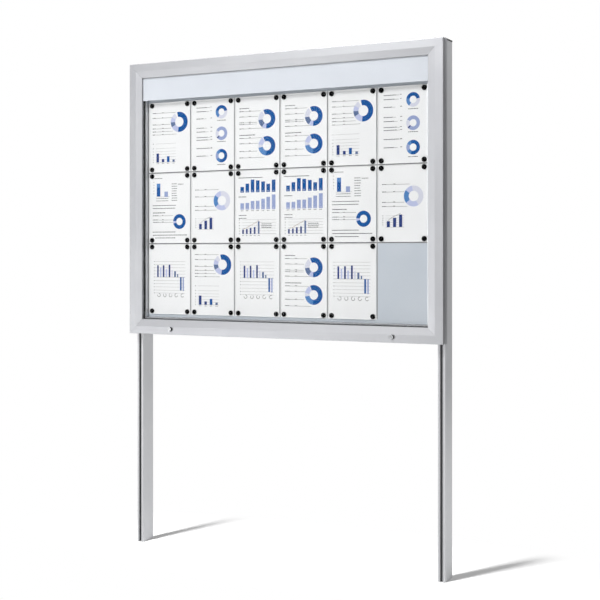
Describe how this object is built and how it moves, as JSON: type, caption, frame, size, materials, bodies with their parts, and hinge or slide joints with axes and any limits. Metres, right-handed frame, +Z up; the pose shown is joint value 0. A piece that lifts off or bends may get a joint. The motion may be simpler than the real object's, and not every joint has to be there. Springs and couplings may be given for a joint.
{
  "type": "lockable notice board",
  "caption": "Free-standing glazed notice board on two slotted posts, with a lockable lift-up door hinged at the top and held by gas struts.",
  "frame": {"origin": "on the ground, midway between the two posts' feet", "axes": "+Z up along the posts; +Y from the glazed front to the back; +X to the right of someone who reads the board"},
  "size_m": [1.425, 0.1321, 2.056],
  "materials": {
    "anodised_profile": "silver anodised, satin",
    "lacquered_panel": "pale blue-grey lacquered steel sheet",
    "header_white": "plain off-white lacquer",
    "glass": "clear toughened glass",
    "rubber": "black, matt",
    "black_plastic": "black, fine grain",
    "paper": "white paper under round black magnets",
    "lock_chrome": "polished",
    "zinc_plated": "bright zinc plate",
    "strut_black": "black paint"
  },
  "bodies": {
    "case": {"case_bottom_rail": "anodised_profile", "case_top_rail": "anodised_profile", "case_left_rail": "anodised_profile", "case_right_rail": "anodised_profile", "back_panel": "lacquered_panel", "door_seal": "rubber", "hinge_case_leaf": "zinc_plated", "hinge_pin": "zinc_plated", "strut_left_case_bracket": "zinc_plated", "strut_right_case_bracket": "zinc_plated", "post_left": "anodised_profile", "post_left_cap": "black_plastic", "post_left_slot_bar": "zinc_plated", "bolt_left_lower": "zinc_plated", "bolt_left_upper": "zinc_plated", "post_right": "anodised_profile", "post_right_cap": "black_plastic", "post_right_slot_bar": "zinc_plated", "bolt_right_lower": "zinc_plated", "bolt_right_upper": "zinc_plated", "notice_row1_1": "paper", "notice_row1_2": "paper", "notice_row1_3": "paper", "notice_row1_4": "paper", "notice_row1_5": "paper", "notice_row1_6": "paper", "notice_row2_1": "paper", "notice_row2_2": "paper", "notice_row2_3": "paper", "notice_row2_4": "paper", "notice_row2_5": "paper", "notice_row2_6": "paper", "notice_row3_1": "paper", "notice_row3_2": "paper", "notice_row3_3": "paper", "notice_row3_4": "paper", "notice_row3_5": "paper"},
    "door": {"door_bottom_bar": "anodised_profile", "door_top_bar": "anodised_profile", "door_left_bar": "anodised_profile", "door_right_bar": "anodised_profile", "glass_pane": "glass", "glazing_gasket": "rubber", "header_panel": "header_white", "hinge_door_leaf": "zinc_plated", "lock_left_body": "lock_chrome", "lock_left_nut": "zinc_plated", "lock_right_body": "lock_chrome", "lock_right_nut": "zinc_plated", "strut_left_door_bracket": "zinc_plated", "strut_right_door_bracket": "zinc_plated"},
    "left_lock": {"lock_left_plug": "lock_chrome", "lock_left_cam": "zinc_plated"},
    "right_lock": {"lock_right_plug": "lock_chrome", "lock_right_cam": "zinc_plated"},
    "left_strut_tube": {"strut_left_tube": "strut_black"},
    "left_strut_rod": {"strut_left_rod": "lock_chrome"},
    "right_strut_tube": {"strut_right_tube": "strut_black"},
    "right_strut_rod": {"strut_right_rod": "lock_chrome"}
  },
  "joints": [
    {"name": "door_hinge", "type": "hinge", "parent": "case", "child": "door", "pos_m": [0, -0.0618, 2.0474], "axis": [-1, 0, 0], "range_deg": [0, 80]},
    {"name": "left_lock_turn", "type": "hinge", "parent": "door", "child": "left_lock", "pos_m": [-0.505, -0.0931, 0.9225], "axis": [0, 1, 0], "range_deg": [0, 90]},
    {"name": "right_lock_turn", "type": "hinge", "parent": "door", "child": "right_lock", "pos_m": [0.505, -0.0931, 0.9225], "axis": [0, 1, 0], "range_deg": [0, 90]},
    {"name": "left_strut_swing", "type": "hinge", "parent": "case", "child": "left_strut_tube", "pos_m": [-0.6725, -0.0503, 1.6374], "axis": [1, 0, 0], "range_deg": [0, 12.93]},
    {"name": "left_strut_slide", "type": "slide", "parent": "left_strut_tube", "child": "left_strut_rod", "axis": [0, 0, 1], "range_m": [0, 0.0648]},
    {"name": "right_strut_swing", "type": "hinge", "parent": "case", "child": "right_strut_tube", "pos_m": [0.6725, -0.0503, 1.6374], "axis": [1, 0, 0], "range_deg": [0, 12.93]},
    {"name": "right_strut_slide", "type": "slide", "parent": "right_strut_tube", "child": "right_strut_rod", "axis": [0, 0, 1], "range_m": [0, 0.0648]}
  ],
  "couplings": [
    {"joint": "left_strut_swing", "follows": "door_hinge", "ratio": 0.16153},
    {"joint": "left_strut_slide", "follows": "door_hinge", "m_per_rad": 0.046396},
    {"joint": "right_strut_swing", "follows": "door_hinge", "ratio": 0.16153},
    {"joint": "right_strut_slide", "follows": "door_hinge", "m_per_rad": 0.046396}
  ]
}
